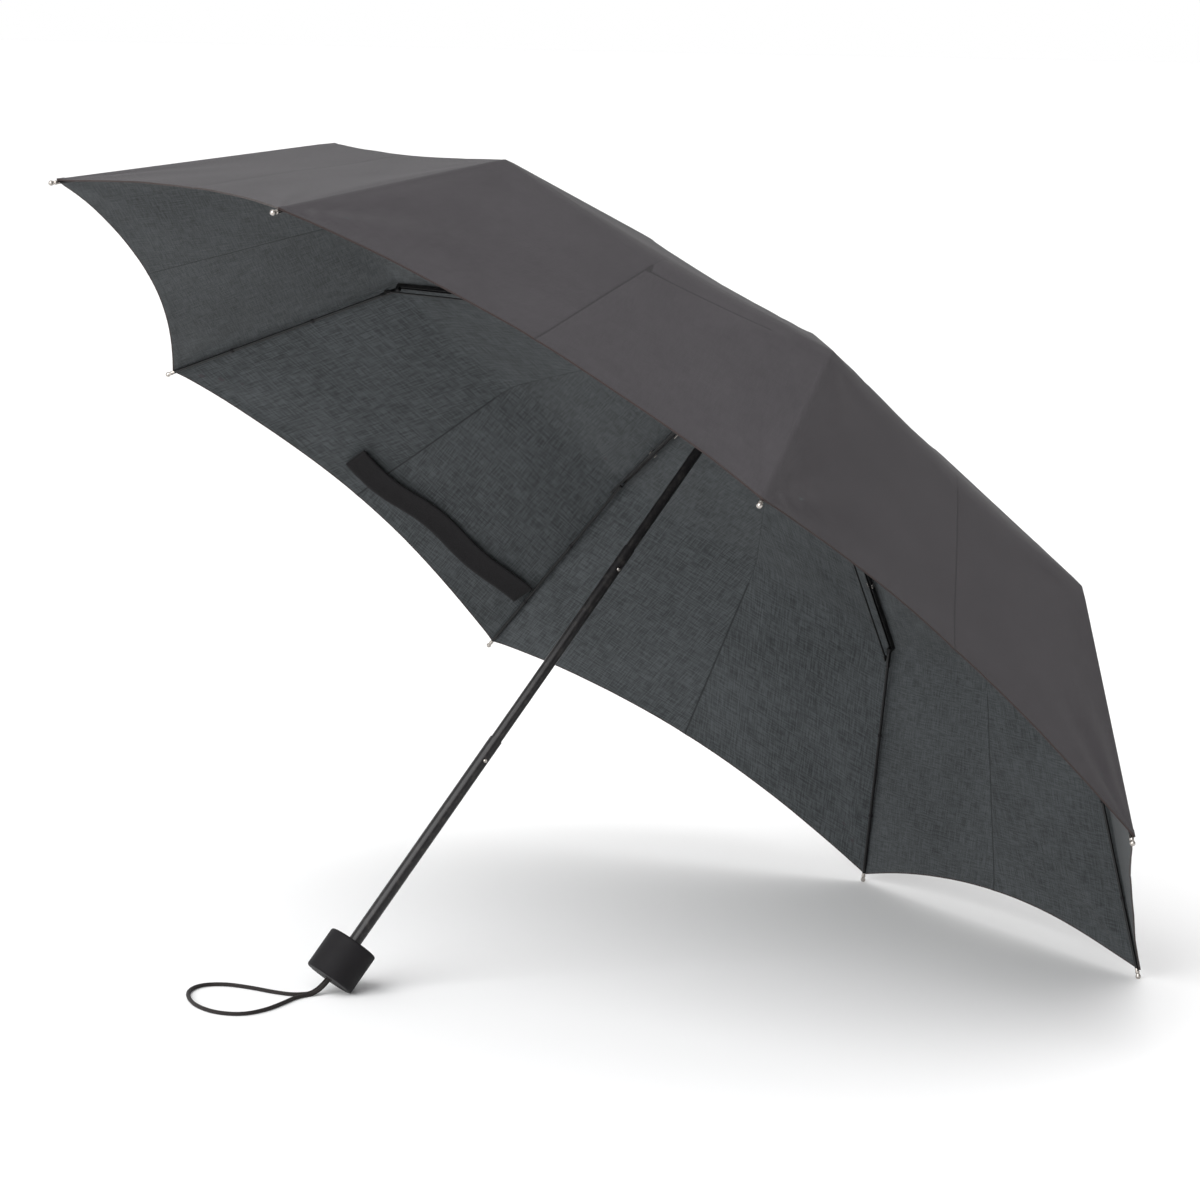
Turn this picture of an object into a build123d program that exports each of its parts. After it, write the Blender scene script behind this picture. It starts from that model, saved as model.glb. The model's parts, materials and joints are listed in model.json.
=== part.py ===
"""Three-fold manual umbrella, open and lying on its handle rim and its two lowest rib tips.

The frame is first modelled with its shaft along Z and the rib hinges of the crown at Z = 0, then every
piece is laid down on the surface in one move. Lengths are in millimetres and angles in degrees.
"""
from build123d import *
import math
import os

# ---- driving sizes -------------------------------------------------------------------------------
RIB_COUNT = 8
INNER_RIB_LENGTH = 165.0     # crown hinge to the first rib joint
MIDDLE_RIB_LENGTH = 165.0    # first rib joint to the second
OUTER_RIB_LENGTH = 202.0     # second rib joint to the centre of the ball at the tip
INNER_SLOPE = 6.0            # how far each rib points below the level when the umbrella is open
MIDDLE_SLOPE = 15.0
OUTER_SLOPE = 43.6
CLOSED_SLOPE = 89.0          # slope of the inner rib when the umbrella is closed

HINGE_CIRCLE_RADIUS = 10.0   # wire rings that carry the ribs and the stretchers
STRETCHER_LENGTH = 100.0
STRETCHER_REACH = 92.0       # crown hinge to the stretcher's hinge, along the inner rib
STRETCHER_HALF = 1.4         # half the height of a stretcher
STRETCHER_DROP = 3.0         # that hinge lies this far under the inner rib's middle line

TUBE_WALL = 0.55
TUBE_CLEARANCE = 0.05        # radial, between one tube and the next
UPPER_TUBE_RADIUS = 3.5
MIDDLE_TUBE_TOP = -169.0
LOWER_TUBE_TOP = -336.0
TUBE_OVERLAP = 25.0          # length of each tube that stays inside the next
MIDDLE_TUBE_TRAVEL = 150.0
LOWER_TUBE_TRAVEL = 145.0
BUTTON_DROP = 17.5           # from a tube's top edge to the button that locks it
BUTTON_RADIUS = 1.4
BUTTON_PROUD = 1.0
BUTTON_ANGLE = -90.0

HANDLE_TOP = -510.0
HANDLE_LENGTH = 30.6
HANDLE_RADIUS = 18.3
HANDLE_EDGE = 1.6            # rounding of the handle's two rims
HANDLE_WALL = 2.4
PLUG_THICKNESS = 3.0
CORD_BORE = 3.1              # the hole in the handle's base that both ends of the wrist cord enter

CHANNEL_WALL = 0.5
INNER_CHANNEL = (3.6, 3.4)   # width and height of the folded-steel channel
MIDDLE_CHANNEL = (3.4, 3.0)
TONGUE_WIDTH = 2.2
PIN_RADIUS = 0.6
PIN_CLEARANCE = 0.1
RIVET_RADIUS = 1.1
RIVET_HEAD = 0.4             # how far a rivet's head stands out of its cheek
WINDOW_STEPS = 100           # steps of the runner's travel at which the stretcher is looked at
WINDOW_MARGIN = 1.5          # past the stretch where the stretcher's top passes through the inner rib
FIRST_JOINT_RISE = 2.5       # first joint above both ribs' middle lines
SECOND_JOINT_DROP = 3.0      # second joint under the middle rib's middle line
OUTER_WIRE_RADIUS = 1.2
BALL_RADIUS = 1.7
ROD_RADIUS = 0.7
ROD_OFFSET = 2.6             # sideways from the rib's own plane
ROD_PIN_REACH = 9.0          # second joint to the pull rod's pin, along the outer rib
ROD_LENGTH = 150.0
EYE_CUT = 10.0               # length of the cut that makes an eye

FABRIC_THICKNESS = 0.8
FABRIC_GAP = 0.5             # between the fabric and the metal under it
HEM_SAG = 17.0               # how far the middle of each hem is cut in
FABRIC_CORNER_BACK = 8.0     # from the ball's centre back to the fabric's corner

STRAP_WIDTH = 20.5
STRAP_LENGTH = 191.0
STRAP_THICKNESS = 1.2
STRAP_DOWN = 138.0           # from the line of the second joints down the panel to the strap's middle
STRAP_END = 31.0             # the strap's sewn end, past the panel's middle line
STRAP_GAP = 1.0              # between the fabric and the strap

CORD_RADIUS = 1.4
CORD_SPREAD = 1.5            # each end of the wrist cord from the middle of the handle's base
CORD_IN_HANDLE = 5.0         # how far the cord's ends reach into the handle
CORD_LIE = 1.5               # height of the lying cord's middle above the surface
CORD_LOOP = [                # where the wrist loop lies, from the far strand round to the near one
    (-235.0, 0.6), (-244.5, 13.0), (-254.0, 33.0), (-266.0, 50.0), (-283.0, 54.0), (-298.0, 41.0),
    (-307.0, 20.0), (-311.0, -3.0), (-307.0, -25.0), (-293.0, -37.0), (-274.0, -32.0),
    (-256.0, -20.0), (-235.0, -3.4),
]
RUN_SHARE = 0.45             # share of the shorter run that each of the cord's arcs takes

# ---- places worked out from the driving sizes ----------------------------------------------------
RIB_ANGLES = [360.0 / RIB_COUNT * (k + 0.5) for k in range(RIB_COUNT)]


def toward(slope, along, above=0.0):
    """Radial and vertical distance after going along a rib of that slope, then square to it."""
    a = math.radians(slope)
    return along * math.cos(a) + above * math.sin(a), -along * math.sin(a) + above * math.cos(a)


def plus(p, q):
    """The sum of two pairs."""
    return p[0] + q[0], p[1] + q[1]


CROWN_HINGE = (HINGE_CIRCLE_RADIUS, 0.0)
FIRST_JOINT = plus(CROWN_HINGE, toward(INNER_SLOPE, INNER_RIB_LENGTH, FIRST_JOINT_RISE))
MIDDLE_START = plus(FIRST_JOINT, toward(MIDDLE_SLOPE, 0.0, -FIRST_JOINT_RISE))
MIDDLE_END = plus(MIDDLE_START, toward(MIDDLE_SLOPE, MIDDLE_RIB_LENGTH))
SECOND_JOINT = plus(MIDDLE_END, toward(MIDDLE_SLOPE, 0.0, -SECOND_JOINT_DROP))
TIP = plus(SECOND_JOINT, toward(OUTER_SLOPE, OUTER_RIB_LENGTH))
ROD_PIN = plus(SECOND_JOINT, toward(OUTER_SLOPE, ROD_PIN_REACH))
STRETCHER_HINGE = plus(CROWN_HINGE, toward(INNER_SLOPE, STRETCHER_REACH, -STRETCHER_DROP))
STRETCHER_HINGE_CLOSED = plus(CROWN_HINGE, toward(CLOSED_SLOPE, STRETCHER_REACH, -STRETCHER_DROP))


def runner_height(hinge):
    """Height of the runner's hinges that puts a stretcher's far end on that hinge."""
    return hinge[1] - math.sqrt(STRETCHER_LENGTH ** 2 - (hinge[0] - HINGE_CIRCLE_RADIUS) ** 2)


RUNNER_OPEN = runner_height(STRETCHER_HINGE)
RUNNER_CLOSED = runner_height(STRETCHER_HINGE_CLOSED)
RUNNER_TRAVEL = RUNNER_OPEN - RUNNER_CLOSED


def rise_angle(height, hinge):
    """Angle of the stretcher above the level."""
    return math.degrees(math.atan2(hinge[1] - height, hinge[0] - HINGE_CIRCLE_RADIUS))


STRETCHER_RISE = rise_angle(RUNNER_OPEN, STRETCHER_HINGE)

# How far each hinge turns, and each rod slides, while the runner goes from open to closed.
INNER_TURN = CLOSED_SLOPE - INNER_SLOPE
MIDDLE_TURN = 180.0 + (MIDDLE_SLOPE - INNER_SLOPE)
OUTER_TURN = 180.0 - (OUTER_SLOPE - MIDDLE_SLOPE)
STRETCHER_TURN = rise_angle(RUNNER_CLOSED, STRETCHER_HINGE_CLOSED) - STRETCHER_RISE
ROD_SLIDE = (toward(MIDDLE_SLOPE, -ROD_PIN_REACH)[0] - (ROD_PIN[0] - SECOND_JOINT[0]),
             toward(MIDDLE_SLOPE, -ROD_PIN_REACH)[1] - (ROD_PIN[1] - SECOND_JOINT[1]))
ROD_TRAVEL = math.hypot(*ROD_SLIDE)

MIDDLE_TUBE_RADIUS = UPPER_TUBE_RADIUS + TUBE_CLEARANCE + TUBE_WALL
LOWER_TUBE_RADIUS = MIDDLE_TUBE_RADIUS + TUBE_CLEARANCE + TUBE_WALL
UPPER_TUBE_BOTTOM = MIDDLE_TUBE_TOP - TUBE_OVERLAP
MIDDLE_TUBE_BOTTOM = LOWER_TUBE_TOP - TUBE_OVERLAP
UPPER_BUTTON_HEIGHT = MIDDLE_TUBE_TOP - BUTTON_DROP
LOWER_BUTTON_HEIGHT = LOWER_TUBE_TOP - BUTTON_DROP
BUTTON_TRAVEL = TUBE_CLEARANCE + TUBE_WALL + BUTTON_PROUD + 0.02

HUB_RADIUS = HINGE_CIRCLE_RADIUS + 2.5
HUB_HALF_HEIGHT = 4.0
HUB_SLOT_INNER = HINGE_CIRCLE_RADIUS - 2.5
RING_WIRE_RADIUS = 0.5
RUNNER_BORE = LOWER_TUBE_RADIUS + 0.08
RUNNER_SLEEVE_RADIUS = HUB_SLOT_INNER - 0.4
RUNNER_SLEEVE = 20.0         # length of the sleeve under the runner's hinges
CATCH_HEIGHT = RUNNER_OPEN - RUNNER_SLEEVE - BUTTON_RADIUS - 1.0
HANDLE_BOTTOM = HANDLE_TOP - HANDLE_LENGTH
HANDLE_SOCKET_DEPTH = 22.0

# The fabric runs over the ribs: a point above each joint, and its corner just short of the ball.
FABRIC_CROWN = (5.0, HUB_HALF_HEIGHT + 2.2)
UPPER_TUBE_TOP = FABRIC_CROWN[1] + FABRIC_THICKNESS + 6.0
FABRIC_FIRST = plus(FIRST_JOINT, (0.0, 3.0))
FABRIC_SECOND = plus(MIDDLE_END, toward(MIDDLE_SLOPE, 3.0, MIDDLE_CHANNEL[1] / 2 + FABRIC_GAP))
FABRIC_TIP = plus(TIP, toward(OUTER_SLOPE, -FABRIC_CORNER_BACK, OUTER_WIRE_RADIUS + FABRIC_GAP))

# The umbrella lies on the handle's rim and two balls, which fixes how steeply the shaft leans.
HALF_SPACING = math.radians(180.0 / RIB_COUNT)
REST_RUN = TIP[0] * math.cos(HALF_SPACING) - (HANDLE_RADIUS - HANDLE_EDGE)
REST_RISE = TIP[1] - (HANDLE_BOTTOM + HANDLE_EDGE)
LEAN = math.degrees(math.atan2(REST_RUN, REST_RISE)
                    + math.asin((BALL_RADIUS - HANDLE_EDGE) / math.hypot(REST_RUN, REST_RISE)))


def lay_down(x, y, z):
    """A place on the upright umbrella, turned so that it lies, before it is set on the surface."""
    a = math.radians(LEAN)
    return x * math.sin(a) + z * math.cos(a), y, -x * math.cos(a) + z * math.sin(a)


def canopy_places():
    """Where the canopy's and the handle's outermost corners come to lie."""
    places = [lay_down(radius * math.cos(math.radians(angle)), radius * math.sin(math.radians(angle)), z)
              for angle in RIB_ANGLES for radius, z in (TIP, SECOND_JOINT)]
    places.append(lay_down(-HANDLE_RADIUS, 0.0, HANDLE_BOTTOM))
    return places


SET_X = -(min(p[0] for p in canopy_places()) + max(p[0] for p in canopy_places())) / 2
SET_Z = BALL_RADIUS - lay_down(TIP[0] * math.cos(HALF_SPACING), 0.0, TIP[1])[2]
LAID = Location((SET_X, 0.0, SET_Z)) * Location((0.0, 0.0, 0.0), (0.0, 90.0 - LEAN, 0.0))


# ---- small helpers -------------------------------------------------------------------------------
def tube(outer, inner, top, bottom):
    """An upright tube."""
    shape = Cylinder(outer, top - bottom) - Cylinder(inner, top - bottom + 1.0)
    return Pos(0, 0, (top + bottom) / 2) * shape


def bar(start, end, half_height, width, sideways=0.0):
    """A flat bar with round ends between two points of the rib's plane."""
    length = math.hypot(end[0] - start[0], end[1] - start[1])
    turn = -math.degrees(math.atan2(end[1] - start[1], end[0] - start[0]))
    body = SlotCenterToCenter(length, 2 * half_height) if length > 0 else Circle(half_height)
    solid = extrude(Plane.XZ * Pos(length / 2, 0) * body, amount=width / 2, both=True)
    return Pos(start[0], sideways, start[1]) * Rot(0, turn, 0) * solid


def pin(place, radius, width, sideways=0.0):
    """A round pin or hole across the rib's plane."""
    return Pos(place[0], sideways, place[1]) * Rot(90, 0, 0) * Cylinder(radius, width)


def channel(size, start, end):
    """A channel open underneath, along +X in the rib's plane."""
    width, height = size
    length = end - start
    outside = Pos((start + end) / 2, 0, 0) * Box(length, width, height)
    groove = Pos((start + end) / 2, 0, -CHANNEL_WALL) * Box(length + 1.0, width - 2 * CHANNEL_WALL, height)
    return outside - groove


def cheeks(size, place, reach):
    """Two cheeks on a channel's walls around the pin at that place."""
    middle = (size[0] - CHANNEL_WALL) / 2
    return [bar((place[0], 0.0), place, reach, CHANNEL_WALL, side * middle) for side in (1, -1)]


def lugs(size, place, reach):
    """Two cheeks with the pin between them."""
    return cheeks(size, place, reach) + [pin(place, PIN_RADIUS, size[0])]


def rivet_heads(size, place):
    """The heads of a rivet on the outside of two cheeks, with nothing between the cheeks."""
    middle = (size[0] + RIVET_HEAD) / 2
    return [pin(place, RIVET_RADIUS, RIVET_HEAD, side * middle) for side in (1, -1)]


def wire(points, radius):
    """A straight round wire between two points."""
    line = Line(*points)
    return sweep(Plane(origin=line @ 0, z_dir=line % 0) * Circle(radius), path=line)


def on_rib(solid, origin, slope, angle):
    """Moves what was made along +X onto the rib at that angle, from an origin in its plane."""
    return Rot(0, 0, angle) * Pos(origin[0], 0, origin[1]) * Rot(0, slope, 0) * solid


# ---- hubs ----------------------------------------------------------------------------------------
def hub(slot_width, bore, slots_to=HUB_RADIUS + 1.0):
    """A slotted disc whose hinge circle carries eight members."""
    body = Cylinder(HUB_RADIUS, 2 * HUB_HALF_HEIGHT)
    body = fillet(body.edges().filter_by(GeomType.CIRCLE), 0.8)
    body -= Cylinder(bore, 4 * HUB_HALF_HEIGHT)
    depth = slots_to - HUB_SLOT_INNER
    slot = Pos(HUB_SLOT_INNER + depth / 2, 0, 0) * Box(depth, slot_width, 4 * HUB_HALF_HEIGHT)
    for angle in RIB_ANGLES:
        body -= Rot(0, 0, angle) * slot
    return body - Torus(HINGE_CIRCLE_RADIUS, RING_WIRE_RADIUS + 0.05)


def hinge_ring():
    """The wire ring that runs through the eyes of eight members."""
    return Torus(HINGE_CIRCLE_RADIUS, RING_WIRE_RADIUS)


def crown():
    """The fixed hub near the shaft's top, which carries the inner ribs."""
    neck = tube(HUB_SLOT_INNER - 1.5, UPPER_TUBE_RADIUS + 0.02, FABRIC_CROWN[1] - 0.3, HUB_HALF_HEIGHT - 1.0)
    return hub(INNER_CHANNEL[0] + 0.4, UPPER_TUBE_RADIUS + 0.02) + neck


def top_cap():
    """The turned cap that clamps the fabric at the shaft's top."""
    base = FABRIC_CROWN[1] + FABRIC_THICKNESS + 0.2
    height, radius, edge = 11.0, 9.0, 2.4
    shoulder = (radius * 0.72, base + 0.72 * height)
    outline = [
        Line((0, base), (radius, base)),
        Line((radius, base), (radius, base + edge)),
        ThreePointArc((radius, base + edge), shoulder, (1.5, base + height)),
        Line((1.5, base + height), (0, base + height)),
        Line((0, base + height), (0, base)),
    ]
    solid = revolve(Plane.XZ * make_face(outline), Axis.Z)
    return solid - Pos(0, 0, base) * Cylinder(UPPER_TUBE_RADIUS + 0.02, 2 * (UPPER_TUBE_TOP + 0.3 - base))


def runner():
    """The sliding hub with its sleeve, slotted inside so that the shaft's buttons pass."""
    sleeve = tube(RUNNER_SLEEVE_RADIUS, RUNNER_BORE, 0.0, -RUNNER_SLEEVE)
    sleeve += tube(RUNNER_SLEEVE_RADIUS + 1.6, RUNNER_BORE, -RUNNER_SLEEVE + 3.0, -RUNNER_SLEEVE)
    body = hub(TONGUE_WIDTH + 0.6, RUNNER_BORE) + sleeve
    keyway = Pos(RUNNER_BORE, 0, -RUNNER_SLEEVE / 2) * Box(3.0, 2 * BUTTON_RADIUS + 0.6, 60.0)
    return Pos(0, 0, RUNNER_OPEN) * (body - Rot(0, 0, BUTTON_ANGLE) * keyway)


# ---- shaft ---------------------------------------------------------------------------------------
def button_hole(radius, height):
    """The round hole in a tube's wall for a locking button."""
    across = Pos(radius, 0, 0) * Rot(0, 90, 0) * Cylinder(BUTTON_RADIUS + 0.15, 2 * radius)
    return Pos(0, 0, height) * Rot(0, 0, BUTTON_ANGLE) * across


def button(tube_radius, proud_to, height):
    """A round-nosed button on a leaf spring inside the tube that carries it."""
    bore = tube_radius - TUBE_WALL
    leaf_face = bore - 0.15
    leaf = Box(0.3, 1.7, 12.0)
    nose = Rot(0, 90, 0) * Cylinder(BUTTON_RADIUS, proud_to - leaf_face)
    nose = chamfer(nose.edges().group_by(Axis.X)[-1], 0.35)
    shape = Pos(leaf_face - 0.15, 0, 0) * leaf + Pos((leaf_face + proud_to) / 2, 0, 0) * nose
    return Pos(0, 0, height) * Rot(0, 0, BUTTON_ANGLE) * shape


def shaft():
    """The three telescoping tubes, top to bottom."""
    upper = tube(UPPER_TUBE_RADIUS, UPPER_TUBE_RADIUS - TUBE_WALL, UPPER_TUBE_TOP, UPPER_TUBE_BOTTOM)
    upper -= button_hole(UPPER_TUBE_RADIUS, UPPER_BUTTON_HEIGHT)
    upper -= button_hole(UPPER_TUBE_RADIUS, CATCH_HEIGHT)
    middle = tube(MIDDLE_TUBE_RADIUS, MIDDLE_TUBE_RADIUS - TUBE_WALL, MIDDLE_TUBE_TOP, MIDDLE_TUBE_BOTTOM)
    middle -= button_hole(MIDDLE_TUBE_RADIUS, UPPER_BUTTON_HEIGHT)
    middle -= button_hole(MIDDLE_TUBE_RADIUS, LOWER_BUTTON_HEIGHT)
    socket = HANDLE_TOP - HANDLE_SOCKET_DEPTH
    lower = tube(LOWER_TUBE_RADIUS, LOWER_TUBE_RADIUS - TUBE_WALL, LOWER_TUBE_TOP, socket)
    lower -= button_hole(LOWER_TUBE_RADIUS, LOWER_BUTTON_HEIGHT)
    return upper, middle, lower


# ---- handle --------------------------------------------------------------------------------------
def handle_shell():
    """The soft-touch cylinder, hollow from below."""
    body = Cylinder(HANDLE_RADIUS, HANDLE_LENGTH)
    body = fillet(body.edges().filter_by(GeomType.CIRCLE), HANDLE_EDGE)
    hollow = Pos(0, 0, -HANDLE_WALL) * Cylinder(HANDLE_RADIUS - HANDLE_WALL, HANDLE_LENGTH)
    body -= hollow
    body -= Pos(0, 0, HANDLE_LENGTH / 2) * Cylinder(LOWER_TUBE_RADIUS + 0.05, 3 * HANDLE_WALL)
    return Pos(0, 0, (HANDLE_TOP + HANDLE_BOTTOM) / 2) * body


def handle_plug():
    """The base disc that closes the handle, with the hole for the wrist cord."""
    body = Cylinder(HANDLE_RADIUS - HANDLE_WALL - 0.05, PLUG_THICKNESS)
    body = Pos(0, 0, HANDLE_BOTTOM + PLUG_THICKNESS / 2) * body
    return body - Pos(0, 0, HANDLE_BOTTOM) * Cylinder(CORD_BORE, 4 * PLUG_THICKNESS)


def handle_core():
    """The socket inside the handle that is pressed onto the lower tube."""
    top = HANDLE_TOP - HANDLE_WALL - 0.05
    bottom = HANDLE_BOTTOM + PLUG_THICKNESS + 0.05
    outer = HANDLE_RADIUS - HANDLE_WALL - 0.05
    body = tube(LOWER_TUBE_RADIUS + 2.2, LOWER_TUBE_RADIUS + 0.05, top, bottom)
    rib = Pos((outer + LOWER_TUBE_RADIUS) / 2 + 0.6, 0, (top + bottom) / 2)
    for k in range(4):
        body += Rot(0, 0, 90.0 * k + 45.0) * rib * Box(outer - LOWER_TUBE_RADIUS - 1.4, 1.8, top - bottom)
    return body


# ---- ribs ----------------------------------------------------------------------------------------
def rib_window():
    """Where along the inner rib its top is cut out, so that the stretcher can pass on the way down.

    The stretcher turns evenly with the runner, so its far end rises above the rib between its two ends.
    """
    crossings = []
    top = INNER_CHANNEL[1] / 2 - CHANNEL_WALL / 2
    for step in range(1, WINDOW_STEPS):
        share = step / WINDOW_STEPS
        slope = math.radians(INNER_SLOPE + share * (CLOSED_SLOPE - INNER_SLOPE))
        height = RUNNER_OPEN - share * RUNNER_TRAVEL
        rise = math.radians(STRETCHER_RISE + share * STRETCHER_TURN)
        meet = (top - height * math.cos(slope)) / math.sin(slope + rise)
        if 0.0 < meet < STRETCHER_LENGTH:
            crossings.append(meet * math.cos(slope + rise) - height * math.sin(slope))
    return min(crossings) - STRETCHER_HALF - WINDOW_MARGIN, max(crossings) + STRETCHER_HALF + WINDOW_MARGIN


def eye(place, radius=PIN_RADIUS + PIN_CLEARANCE):
    """The hole that a pin goes through."""
    return pin(place, radius, EYE_CUT)


def inner_rib():
    """Inner rib: a tongue at the crown, a channel, and cheeks for the stretcher and the next rib."""
    half = INNER_CHANNEL[1] / 2
    joint = (INNER_RIB_LENGTH, FIRST_JOINT_RISE)
    body = channel(INNER_CHANNEL, 3.2, INNER_RIB_LENGTH - 3.4)
    hinge = (STRETCHER_REACH, -STRETCHER_DROP)
    for piece in cheeks(INNER_CHANNEL, hinge, half) + rivet_heads(INNER_CHANNEL, hinge):
        body += piece
    for piece in lugs(INNER_CHANNEL, joint, half):
        body += piece
    for side in (1, -1):
        middle = side * (INNER_CHANNEL[0] - CHANNEL_WALL) / 2
        body += bar((INNER_RIB_LENGTH - 5.0, 0.0), joint, half, CHANNEL_WALL, middle)
    body += bar((0.0, 0.0), (7.0, 0.0), half - 0.2, INNER_CHANNEL[0] - 2 * CHANNEL_WALL)
    first, last = rib_window()
    window = Box(last - first, INNER_CHANNEL[0] - 2 * CHANNEL_WALL, 2 * CHANNEL_WALL)
    body -= Pos((first + last) / 2, 0, half) * window
    return body - pin((0.0, 0.0), RING_WIRE_RADIUS + 0.3, EYE_CUT)


def middle_rib():
    """Middle rib, drawn from the first joint: a tongue, a channel and cheeks for the outer rib."""
    axis = -FIRST_JOINT_RISE
    body = Pos(0, 0, axis) * channel(MIDDLE_CHANNEL, 4.2, MIDDLE_RIB_LENGTH - 2.0)
    for piece in lugs(MIDDLE_CHANNEL, (MIDDLE_RIB_LENGTH, -SECOND_JOINT_DROP), MIDDLE_CHANNEL[1] / 2):
        body += Pos(0, 0, axis) * piece
    for side in (1, -1):
        middle = side * (MIDDLE_CHANNEL[0] - CHANNEL_WALL) / 2
        start, end = (MIDDLE_RIB_LENGTH - 6.0, axis), (MIDDLE_RIB_LENGTH, axis)
        body += bar(start, end, MIDDLE_CHANNEL[1] / 2, CHANNEL_WALL, middle)
    tongue = bar((0.0, 0.0), (5.0, axis), 1.5, TONGUE_WIDTH)
    tongue += bar((5.0, axis), (10.0, axis), 1.3, TONGUE_WIDTH + 0.2)
    return (body + tongue) - eye((0.0, 0.0))


def outer_rib():
    """Outer rib, drawn from the second joint: a flat eye, a pin for the rod, a wire and its ball."""
    wire_start = ROD_PIN_REACH + 2.0
    body = bar((0.0, 0.0), (wire_start + 3.0, 0.0), 1.4, TONGUE_WIDTH - 0.2)
    body += wire(((wire_start, 0, 0), (OUTER_RIB_LENGTH, 0, 0)), OUTER_WIRE_RADIUS)
    body += Pos(OUTER_RIB_LENGTH, 0, 0) * Sphere(BALL_RADIUS)
    body += pin((ROD_PIN_REACH, 0.0), PIN_RADIUS, ROD_OFFSET + 0.8, (ROD_OFFSET + 0.8) / 2)
    return body - eye((0.0, 0.0))


def pull_rod():
    """Thin rod beside the middle rib, drawn back from its eye at the outer rib's pin."""
    inner_end = -ROD_LENGTH
    body = wire(((-1.6, ROD_OFFSET, 0), (inner_end, ROD_OFFSET, 0)), ROD_RADIUS)
    body += bar((-3.0, 0.0), (0.0, 0.0), 1.5, 0.9, ROD_OFFSET)
    body += bar((inner_end, 0.0), (inner_end, 0.0), 1.4, 0.9, ROD_OFFSET)
    return body - eye((0.0, 0.0), PIN_RADIUS + 0.2)


def stretcher():
    """Strut from the runner to the inner rib, grooved along its underside."""
    body = bar((0.0, 0.0), (STRETCHER_LENGTH, 0.0), STRETCHER_HALF, TONGUE_WIDTH)
    groove = Box(STRETCHER_LENGTH - 16.0, TONGUE_WIDTH - 2 * CHANNEL_WALL, 2 * STRETCHER_HALF)
    body -= Pos(STRETCHER_LENGTH / 2, 0, -CHANNEL_WALL) * groove
    body -= pin((0.0, 0.0), RING_WIRE_RADIUS + 0.3, EYE_CUT)
    return body - eye((STRETCHER_LENGTH, 0.0), PIN_RADIUS + 0.2)


# ---- fabric --------------------------------------------------------------------------------------
def octagon(radius, height):
    """The level outline through eight rib points."""
    corners = [(radius * math.cos(math.radians(a)), radius * math.sin(math.radians(a)), height)
               for a in RIB_ANGLES]
    return Wire(Polyline(*corners, close=True).edges())


def fabric_body(lift):
    """Everything under the fabric's ring points raised by that much, as one solid."""
    beyond = plus(FABRIC_TIP, toward(OUTER_SLOPE, 12.0))
    rings = [FABRIC_CROWN, FABRIC_FIRST, FABRIC_SECOND, FABRIC_TIP, beyond]
    body = None
    for (upper_radius, upper), (lower_radius, lower) in zip(rings, rings[1:]):
        band = Solid.make_loft([octagon(upper_radius, upper + lift), octagon(lower_radius, lower + lift)], True)
        body = band if body is None else body + band
    return body


def canopy():
    """Eight-sided canopy of three slopes, open at the crown, with hems cut in between the tips."""
    shell = fabric_body(FABRIC_THICKNESS) - fabric_body(0.0)
    shell -= Cylinder(UPPER_TUBE_RADIUS + 0.3, 100.0)
    return shell & hem_cutter()


def hem_cutter():
    """A tall prism whose eight sides are arcs through the fabric's corners, bowed inward."""
    radius = FABRIC_TIP[0]
    edges = []
    for k, angle in enumerate(RIB_ANGLES):
        a, b = math.radians(angle), math.radians(angle + 360.0 / RIB_COUNT)
        middle = radius * math.cos(HALF_SPACING) - HEM_SAG
        start = (radius * math.cos(a), radius * math.sin(a))
        end = (radius * math.cos(b), radius * math.sin(b))
        centre = (middle * math.cos((a + b) / 2), middle * math.sin((a + b) / 2))
        edges.append(ThreePointArc(start, centre, end))
    return Pos(0, 0, -400) * extrude(make_face(edges), amount=500)


def closure_strap():
    """The hook-and-loop strap that ties the furled canopy, hanging inside one panel."""
    panel_angle = math.radians(RIB_ANGLES[1] + 180.0 / RIB_COUNT)
    flat = math.cos(HALF_SPACING)
    top = (FABRIC_SECOND[0] * flat, FABRIC_SECOND[1])
    bottom = (FABRIC_TIP[0] * flat, FABRIC_TIP[1])
    slope = math.atan2(top[1] - bottom[1], bottom[0] - top[0])
    under = STRAP_GAP + STRAP_THICKNESS / 2
    place = plus(top, toward(math.degrees(slope), STRAP_DOWN, -under))
    body = Box(STRAP_WIDTH, STRAP_LENGTH, STRAP_THICKNESS)
    body = Pos(place[0], STRAP_END - STRAP_LENGTH / 2, place[1]) * Rot(0, math.degrees(slope), 0) * body
    return Rot(0, 0, math.degrees(panel_angle)) * body


# ---- wrist cord ----------------------------------------------------------------------------------
def cord_points():
    """The wrist cord's route on the surface: out of the handle's base, round its loop and back in."""
    axis_x, _, axis_z = lay_down(0.0, 0.0, 1.0)
    base_x, _, base_z = lay_down(0.0, 0.0, HANDLE_BOTTOM)
    base_x, base_z = base_x + SET_X, base_z + SET_Z
    down = (base_z - CORD_LIE) / axis_z
    inside = (base_x + CORD_IN_HANDLE * axis_x, base_z + CORD_IN_HANDLE * axis_z)
    landing = (base_x - down * axis_x, CORD_LIE)
    points = [Vector(x, CORD_SPREAD, z) for x, z in (inside, landing)]
    points += [Vector(x, y, CORD_LIE) for x, y in CORD_LOOP]
    return points + [Vector(x, -CORD_SPREAD, z) for x, z in (landing, inside)]


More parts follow.
